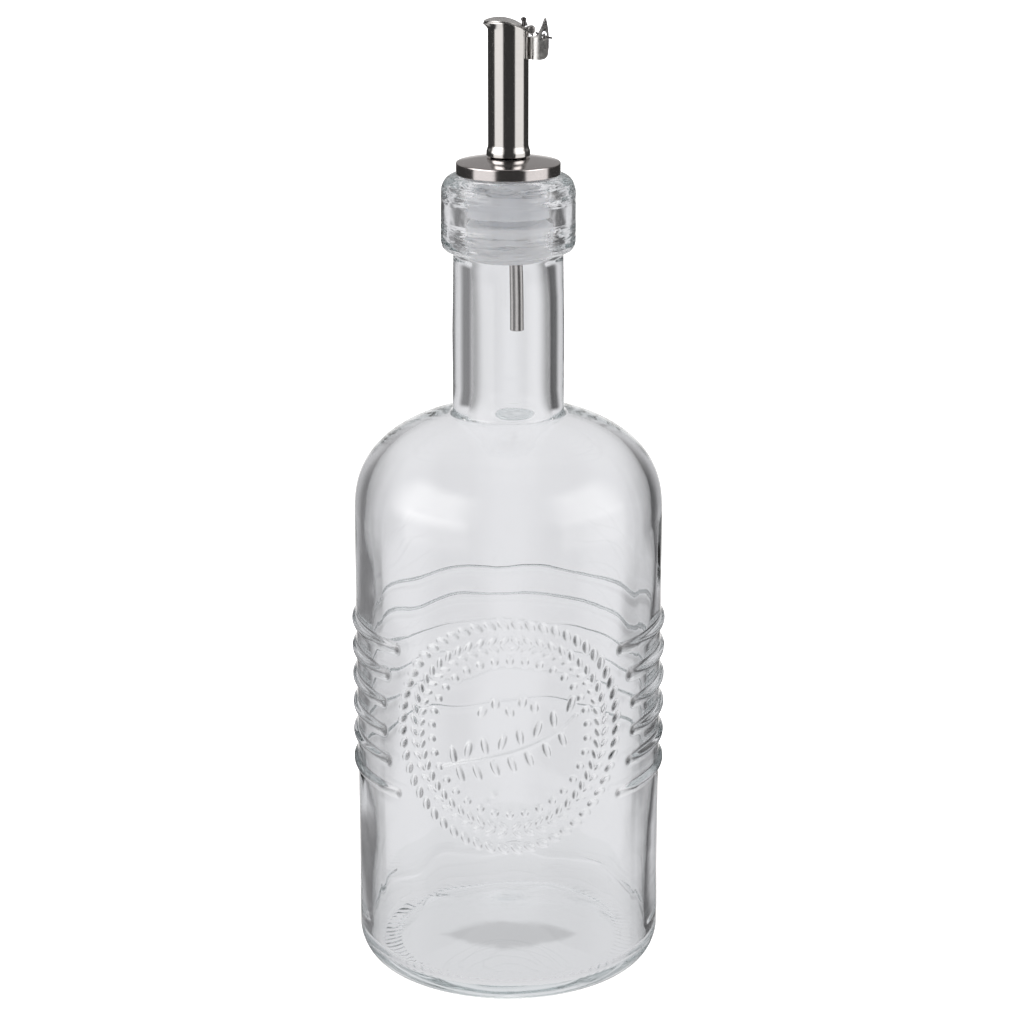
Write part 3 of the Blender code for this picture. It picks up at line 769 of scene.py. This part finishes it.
def rampNode(tree, value, start, end, low=0.0, high=1.0, kind="SMOOTHSTEP"):
    node = tree.nodes.new("ShaderNodeMapRange")
    node.interpolation_type = kind
    for name, number in (("From Min", start), ("From Max", end), ("To Min", low), ("To Max", high)):
        node.inputs[name].default_value = number
    tree.links.new(value, node.inputs["Value"])
    return node.outputs[0]


def newMaterial(name, colour, metallic, roughness):
    material = bpy.data.materials.new(name)
    material.use_nodes = True
    shader = material.node_tree.nodes["Principled BSDF"]
    shader.inputs["Base Color"].default_value = (*colour, 1)
    shader.inputs["Metallic"].default_value = metallic
    shader.inputs["Roughness"].default_value = roughness
    material.diffuse_color = (*colour, 1)
    return material, shader


grainSockets = {
    "INPUT": (("Vector", "NodeSocketVector", None), ("Light", "NodeSocketColor", (0.7, 0.7, 0.7, 1)),
              ("Dark", "NodeSocketColor", (0.5, 0.5, 0.5, 1)), ("Smooth", "NodeSocketFloat", 0.2),
              ("Rough", "NodeSocketFloat", 0.3), ("Fineness", "NodeSocketFloat", 1.0)),
    "OUTPUT": (("Colour", "NodeSocketColor", None), ("Roughness", "NodeSocketFloat", None),
               ("Height", "NodeSocketFloat", None)),
}


def buildGrainGroup():
    # Fine lines and broad cloudiness, for steel and plastic alike
    group = bpy.data.node_groups.new("grain", "ShaderNodeTree")
    for direction, sockets in grainSockets.items():
        for name, kind, value in sockets:
            socket = group.interface.new_socket(name=name, in_out=direction, socket_type=kind)
            if value is not None:
                socket.default_value = value
    nodes, links = group.nodes, group.links
    given, result = nodes.new("NodeGroupInput"), nodes.new("NodeGroupOutput")
    fine = nodes.new("ShaderNodeTexNoise")
    fine.inputs["Detail"].default_value = 4
    fine.inputs["Roughness"].default_value = 0.65
    broad = nodes.new("ShaderNodeTexNoise")
    broad.inputs["Scale"].default_value = 0.12
    broad.inputs["Detail"].default_value = 2
    blend = nodes.new("ShaderNodeMix")
    blend.inputs[0].default_value = 0.4
    colour = nodes.new("ShaderNodeMix")
    colour.data_type = "RGBA"
    rough = nodes.new("ShaderNodeMapRange")
    rough.inputs["From Min"].default_value = 0.3
    rough.inputs["From Max"].default_value = 0.7
    for source, target in (
            (given.outputs["Vector"], fine.inputs["Vector"]),
            (given.outputs["Fineness"], fine.inputs["Scale"]),
            (given.outputs["Vector"], broad.inputs["Vector"]), (fine.outputs["Fac"], blend.inputs[2]),
            (broad.outputs["Fac"], blend.inputs[3]), (blend.outputs[0], colour.inputs[0]),
            (given.outputs["Light"], colour.inputs[6]), (given.outputs["Dark"], colour.inputs[7]),
            (blend.outputs[0], rough.inputs["Value"]), (given.outputs["Smooth"], rough.inputs["To Min"]),
            (given.outputs["Rough"], rough.inputs["To Max"]), (colour.outputs[2], result.inputs["Colour"]),
            (rough.outputs[0], result.inputs["Roughness"]), (fine.outputs["Fac"], result.inputs["Height"])):
        links.new(source, target)
    return group


grainGroup = buildGrainGroup()


def addGrain(material, shader, light, dark, smooth, rough, stretch, depth):
    links = material.node_tree.links
    place = linkedNode(material, "ShaderNodeTexCoord").outputs["Object"]
    scaled = linkedNode(material, "ShaderNodeMapping", {"Scale": stretch}, {"Vector": place})
    grain = linkedNode(material, "ShaderNodeGroup")
    grain.node_tree = grainGroup
    for name, value in (("Light", (*light, 1)), ("Dark", (*dark, 1)), ("Smooth", smooth), ("Rough", rough)):
        grain.inputs[name].default_value = value
    links.new(scaled.outputs[0], grain.inputs["Vector"])
    relief = linkedNode(material, "ShaderNodeBump", {"Strength": 0.5, "Distance": depth * mm},
                        {"Height": grain.outputs["Height"]})
    links.new(grain.outputs["Colour"], shader.inputs["Base Color"])
    links.new(grain.outputs["Roughness"], shader.inputs["Roughness"])
    links.new(relief.outputs[0], shader.inputs["Normal"])


glassLook = {
    "colour": (0.985, 0.992, 0.992), "ior": 1.5, "absorbColour": (0.66, 0.74, 0.745), "absorbDensity": 6.0,
    "waveScale": 90.0, "waveDepth": 0.03,
    "tickCount": 90, "tickDepth": 0.06, "tickLean": (-13.0, 0.6), "tickEdges": ((27.0, 27.5), (32.6, 31.8)),
    "tickTop": 2.2,
    "mouldLevels": ((181.0, 187.6), (192.6, 198.4)), "mouldStretch": (170, 170, 900), "mouldDepth": 0.45,
}


def buildGlass(look):
    material, shader = newMaterial("clearGlass", look["colour"], 0.0, 0.0)
    shader.inputs["Transmission Weight"].default_value = 1.0
    shader.inputs["IOR"].default_value = look["ior"]
    tree = material.node_tree
    calc, ramp = partial(mathNode, tree), partial(rampNode, tree)
    place = linkedNode(material, "ShaderNodeTexCoord").outputs["Object"]
    x, y, z = linkedNode(material, "ShaderNodeSeparateXYZ", links={0: place}).outputs
    wave = linkedNode(material, "ShaderNodeTexNoise", {"Scale": look["waveScale"], "Detail": 2.0},
                      {"Vector": place})
    # The knurled ring that the bottle stands on: short radial ticks under the foot, stronger on the left
    tick = calc("SINE", calc("MULTIPLY", calc("ARCTAN2", x, y), look["tickCount"]))
    reach = calc("SQRT", calc("ADD", calc("MULTIPLY", x, x), calc("MULTIPLY", y, y)))
    (innerStart, innerEnd), (outerStart, outerEnd) = look["tickEdges"]
    inner, outer = ramp(reach, innerStart * mm, innerEnd * mm), ramp(reach, outerStart * mm, outerEnd * mm)
    under = calc("MULTIPLY", calc("MULTIPLY", inner, outer), calc("LESS_THAN", z, look["tickTop"] * mm))
    ticks = calc("MULTIPLY", calc("MULTIPLY", under, calc("MULTIPLY_ADD", x, *look["tickLean"])), tick)
    # The uneven mould marks round the two edges of the finish
    bands = []
    for start, end in look["mouldLevels"]:
        above = ramp(z, start * mm, (start + 1) * mm, kind="LINEAR")
        bands.append(calc("MULTIPLY", above, ramp(z, end * mm, (end - 1) * mm, kind="LINEAR")))
    scaled = linkedNode(material, "ShaderNodeMapping", {"Scale": look["mouldStretch"]}, {"Vector": place})
    uneven = linkedNode(material, "ShaderNodeTexNoise", {"Scale": 1.0, "Detail": 1.0},
                        {"Vector": scaled.outputs[0]})
    marks = calc("MULTIPLY", uneven.outputs["Fac"], calc("ADD", *bands))
    normals = {}
    for height, depth in ((wave.outputs["Fac"], look["waveDepth"]), (ticks, look["tickDepth"]),
                          (marks, look["mouldDepth"])):
        bumped = linkedNode(material, "ShaderNodeBump", {"Strength": 1.0, "Distance": depth * mm},
                            {"Height": height, **normals})
        normals = {"Normal": bumped.outputs[0]}
    tree.links.new(normals["Normal"], shader.inputs["Normal"])
    absorb = linkedNode(material, "ShaderNodeVolumeAbsorption", {"Color": (*look["absorbColour"], 1),
                                                                 "Density": look["absorbDensity"]})
    tree.links.new(absorb.outputs[0], tree.nodes["Material Output"].inputs["Volume"])
    return material


plasticLook = {
    "colour": (0.92, 0.94, 0.97), "light": (0.98, 0.985, 1.0), "dark": (0.88, 0.89, 0.91),
    "radius": (1.0, 1.05, 1.1), "scale": 2.5, "weight": 0.8, "roughness": (0.3, 0.5),
    # The last two entries paint shade on the upper rings: the heights over which it sets in, and the share of
    # colour left there
    "stretch": (160, 160, 700), "depth": 0.01, "paintedShadeLevels": (188, 191), "paintedShade": 0.86,
}


def buildPlastic(look):
    material, shader = newMaterial("milkyPlastic", look["colour"], 0.0, 0.35)
    shader.inputs["Subsurface Weight"].default_value = look["weight"]
    shader.inputs["Subsurface Radius"].default_value = look["radius"]
    shader.inputs["Subsurface Scale"].default_value = look["scale"] * mm
    addGrain(material, shader, look["light"], look["dark"], *look["roughness"], look["stretch"],
             look["depth"])
    # Painted shade: the upper rings, under the collar, are painted darker than those below
    place = linkedNode(material, "ShaderNodeTexCoord").outputs["Object"]
    height = linkedNode(material, "ShaderNodeSeparateXYZ", links={0: place}).outputs["Z"]
    low, high = look["paintedShadeLevels"]
    paintedShade = rampNode(material.node_tree, height, low * mm, high * mm, 1.0, look["paintedShade"], kind="LINEAR")
    paintedShadeColour = linkedNode(material, "ShaderNodeVectorMath", {"operation": "SCALE"},
                        {0: shader.inputs["Base Color"].links[0].from_socket, "Scale": paintedShade})
    material.node_tree.links.new(paintedShadeColour.outputs[0], shader.inputs["Base Color"])
    return material


# Each steel as (light colour, dark colour, least and most roughness, stretch of the grain, its depth in mm)
steelLooks = {
    "spoutSteel": ((0.70, 0.685, 0.67), (0.60, 0.58, 0.565), 0.09, 0.15, (300, 300, 9000), 0.0008),
    "collarSteel": ((0.70, 0.67, 0.665), (0.56, 0.52, 0.52), 0.1, 0.2, (2200, 2200, 2600), 0.0016),
    "flapSteel": ((0.72, 0.7, 0.69), (0.56, 0.54, 0.53), 0.22, 0.36, (2600, 900, 2600), 0.003),
    "clevisSteel": ((1.0, 0.99, 0.98), (0.76, 0.75, 0.74), 0.13, 0.5, (1500, 1500, 2100), 0.009),
    "tubeSteel": ((0.74, 0.72, 0.7), (0.56, 0.53, 0.51), 0.04, 0.1, (500, 500, 6000), 0.002),
    "wireSteel": ((0.34, 0.33, 0.33), (0.22, 0.21, 0.21), 0.25, 0.4, (3200, 3200, 3200), 0.004),
    "knobSteel": ((0.12, 0.115, 0.115), (0.07, 0.065, 0.065), 0.25, 0.42, (3400, 3400, 3400), 0.004),
}


def buildSteel(name):
    light, dark, smooth, rough, stretch, depth = steelLooks[name]
    material, shader = newMaterial(name, light, 1.0, smooth)
    addGrain(material, shader, light, dark, smooth, rough, stretch, depth)
    return material


# Studio

studio = {  # angles in degrees, lights as strengths, places on the table in mm
    # What polished faces mirror
    "ground": 0.05, "backdrop": 1.0, "backdropHalf": 16, "backdropTop": 4,
    "upperBack": 0.30, "upperEdge": (80, 50),
    "boxLight": 1.08, "leftBox": (29, 82), "rightBox": (39, 96), "boxBottom": -16, "boxTop": 10,
    "glows": ((-146, -87, 1, 44, 3.3), (89, 140, 6, 44, 2.5)), "glowSoft": (15, 8),
    "topLight": 0.3, "topEdge": (55, 80), "tableLight": 0.8, "tableEdge": (-32, -44),
    # What shows through the glass
    "throughHigh": 0.87, "throughLow": (0.23, 0.11), "throughHalf": 22, "throughSoft": 15,
    "throughBottom": -33, "throughTop": 12, "throughOutside": 0.84, "fill": 1.06,
    "mirrorTint": (1.0, 0.985, 0.97), "throughTint": (0.96, 0.95, 0.978),
    # Painted shadow on the table round the foot and under the base, seen only through the glass
    "shadeReach": (46, 90), "tableShade": (22, 85, 0.75, 0.84), "shadeTint": (0.955, 0.95, 0.975),
    "shadowPatch": (0.75, 1.1, 0.74, 1.0), "shadowPatchHalf": (20.5, 11.5), "shadowPatchNoise": (160, 0.5),
}


def buildStudio(s):
    world = bpy.data.worlds.new("studio")
    bpy.context.scene.world = world
    world.use_nodes = True
    world.cycles.sampling_method = "NONE"
    tree = world.node_tree
    nodes, links = tree.nodes, tree.links
    nodes.clear()
    calc, ramp = partial(mathNode, tree), partial(rampNode, tree)
    place = nodes.new("ShaderNodeTexCoord")
    split = nodes.new("ShaderNodeSeparateXYZ")
    links.new(place.outputs["Generated"], split.inputs[0])

    def window(value, low, high, soft):
        return calc("MULTIPLY", ramp(value, low - soft, low + soft), ramp(value, high + soft, high - soft))

    def between(share, low, high):
        return calc("MULTIPLY_ADD", share, calc("SUBTRACT", high, low), low)

    around = calc("DEGREES", calc("ARCTAN2", split.outputs["X"], split.outputs["Y"]))
    behind = calc("ABSOLUTE", around)
    level = calc("DEGREES", calc("ARCSINE", split.outputs["Z"]))
    # What polished faces mirror: two soft boxes, a bright backdrop and a dark room
    backdrop = calc("MULTIPLY", ramp(behind, s["backdropHalf"] + 6, s["backdropHalf"] - 6),
                    ramp(level, s["backdropTop"] + 6, s["backdropTop"] - 6))
    upper = calc("MULTIPLY", ramp(behind, *s["upperEdge"]),
                 ramp(level, s["backdropTop"] - 4, s["backdropTop"] + 8))
    boxes = calc("ADD", window(around, s["leftBox"][0] - 180, s["leftBox"][1] - 180, 4),
                 window(around, 180 - s["rightBox"][1], 180 - s["rightBox"][0], 4))
    boxes = calc("MULTIPLY", boxes, window(level, s["boxBottom"], s["boxTop"], 3))
    light = between(backdrop, s["ground"], s["backdrop"])
    light = calc("MULTIPLY_ADD", upper, s["upperBack"], light)
    light = calc("MULTIPLY_ADD", boxes, s["boxLight"], light)
    wide, high = s["glowSoft"]
    for left, right, bottom, top, strength in s["glows"]:  # the soft upper part of each box
        glow = calc("MULTIPLY", window(around, left, right, wide), window(level, bottom, top, high))
        light = calc("MULTIPLY_ADD", glow, strength, light)
    light = calc("MULTIPLY_ADD", ramp(level, *s["topEdge"]), s["topLight"], light)
    light = calc("MULTIPLY_ADD", ramp(level, *s["tableEdge"]), s["tableLight"], light)
    # What shows through the glass: pale screens on four sides with dimmer corners between them
    corner = calc("ABSOLUTE", calc("SUBTRACT", calc("MODULO", calc("ADD", behind, 45), 90), 45))
    screens = ramp(corner, s["throughHalf"] + s["throughSoft"], s["throughHalf"] - s["throughSoft"])
    height = window(level, s["throughBottom"], s["throughTop"], 8)
    dim = between(ramp(around, -20, 20), *s["throughLow"])
    through = between(height, s["throughOutside"], between(screens, dim, s["throughHigh"]))
    seen = nodes.new("ShaderNodeLightPath")
    diffuse = ramp(seen.outputs["Diffuse Depth"], 0, 1)
    through = between(diffuse, through, s["fill"])  # what lights the plastic and the floor
    white, mirrored, passed = (nodes.new("ShaderNodeBackground") for _ in range(3))
    for shader, tint in ((white, (1, 1, 1)), (mirrored, s["mirrorTint"]), (passed, s["throughTint"])):
        shader.inputs["Color"].default_value = (*tint, 1)
    links.new(light, mirrored.inputs["Strength"])
    links.new(through, passed.inputs["Strength"])
    polished = calc("MULTIPLY", seen.outputs["Is Glossy Ray"], seen.outputs["Is Reflection Ray"])
    shown = passed.outputs[0]
    for share, shader in ((polished, mirrored), (seen.outputs["Is Camera Ray"], white)):
        mix = nodes.new("ShaderNodeMixShader")
        links.new(share, mix.inputs[0])
        links.new(shown, mix.inputs[1])
        links.new(shader.outputs[0], mix.inputs[2])
        shown = mix.outputs[0]
    links.new(shown, nodes.new("ShaderNodeOutputWorld").inputs["Surface"])


def buildFloor():
    startObject()
    bpy.ops.mesh.primitive_circle_add(vertices=96, radius=3, location=(0, 0, -0.0002), fill_type="NGON")
    floor = called("studioFloor")
    material, shader = newMaterial("paleFloor", (0.9, 0.9, 0.9), 0.0, 0.5)
    shader.inputs["Emission Color"].default_value = (1, 1, 1, 1)
    shader.inputs["Emission Strength"].default_value = 1.0
    shader.inputs["Specular IOR Level"].default_value = 0.0
    floor.data.materials.append(material)
    floor.visible_glossy = floor.visible_transmission = False


def buildContactShade(s):
    # Painted shadow: the table round the foot of the bottle glows a little dimmer, and this shows only
    # through its glass
    startObject()
    bpy.ops.mesh.primitive_circle_add(vertices=64, radius=mm, location=(0, 0, -0.0001), fill_type="NGON")
    disc = called("contactShade")
    disc.scale = (*s["shadeReach"], 1)
    applyPlace()
    material = bpy.data.materials.new("shadedTable")
    material.use_nodes = True
    tree = material.node_tree
    calc = partial(mathNode, tree)
    place = linkedNode(material, "ShaderNodeTexCoord").outputs["Object"]
    reach = linkedNode(material, "ShaderNodeVectorMath", {"operation": "LENGTH"}, {0: place})
    start, end, low, high = s["tableShade"]
    table = rampNode(tree, reach.outputs["Value"], start * mm, end * mm, low, high)
    # Painted shadow under the pushed-up base: a grey pointed oval with a ragged edge
    split = linkedNode(material, "ShaderNodeSeparateXYZ", links={0: place})
    across = calc("DIVIDE", split.outputs["X"], s["shadowPatchHalf"][0] * mm)
    along = calc("DIVIDE", calc("ABSOLUTE", split.outputs["Y"]), s["shadowPatchHalf"][1] * mm)
    scale, share = s["shadowPatchNoise"]
    noise = linkedNode(material, "ShaderNodeTexNoise", {"Scale": scale, "Detail": 3.0}, {"Vector": place})
    edge = calc("MULTIPLY_ADD", noise.outputs[0], share, calc("MULTIPLY_ADD", across, across, along))
    light = calc("MULTIPLY", table, rampNode(tree, edge, *s["shadowPatch"]))
    glow = linkedNode(material, "ShaderNodeEmission", {"Color": (*s["shadeTint"], 1)}, {"Strength": light})
    tree.links.new(glow.outputs[0], tree.nodes["Material Output"].inputs["Surface"])
    disc.data.materials.append(material)
    disc.visible_camera = disc.visible_glossy = disc.visible_diffuse = False


camera = {"place": (0.000881, -0.644472, 0.307822), "pitch": 73.369, "lens": 96.1}


def buildCamera(c):
    startObject()
    bpy.ops.object.camera_add(location=c["place"], rotation=(math.radians(c["pitch"]), 0, 0))
    view = bpy.context.active_object
    view.data.sensor_width = 36
    view.data.lens = c["lens"]
    view.data.clip_start = 0.01
    bpy.context.scene.camera = view


# Everything together

def dress(piece, material, body, node):
    piece.data.materials.clear()
    piece.data.materials.append(material)
    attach(piece, body)
    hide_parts(node)


dress(buildBottle(bottleShape), buildGlass(glassLook), "bottle", "bottle")
dress(buildStopper(stopperShape), buildPlastic(plasticLook), "bottle", "stopper")
dress(buildCollar(collarShape), buildSteel("collarSteel"), "bottle", "collar")
dress(buildAirTube(airTubeShape), buildSteel("tubeSteel"), "bottle", "air_tube")
dress(buildSpout(spoutShape), buildSteel("spoutSteel"), "bottle", "spout")
dress(buildClevis(clevisShape), buildSteel("clevisSteel"), "bottle", "clevis")
dress(buildLid(lidShape), buildSteel("flapSteel"), "flap", "flap_lid")
dress(buildWire(wireShape), buildSteel("wireSteel"), "flap", "flap_wire")
dress(buildKnob(knobShape), buildSteel("knobSteel"), "flap", "flap_knob")
print("pieces dressed")

buildStudio(studio)
buildFloor()
buildContactShade(studio)
buildCamera(camera)
scene = bpy.context.scene
scene.view_settings.view_transform = "Standard"
scene.cycles.max_bounces = 40
scene.cycles.transmission_bounces = 40
scene.cycles.glossy_bounces = 32
print("studio ready")
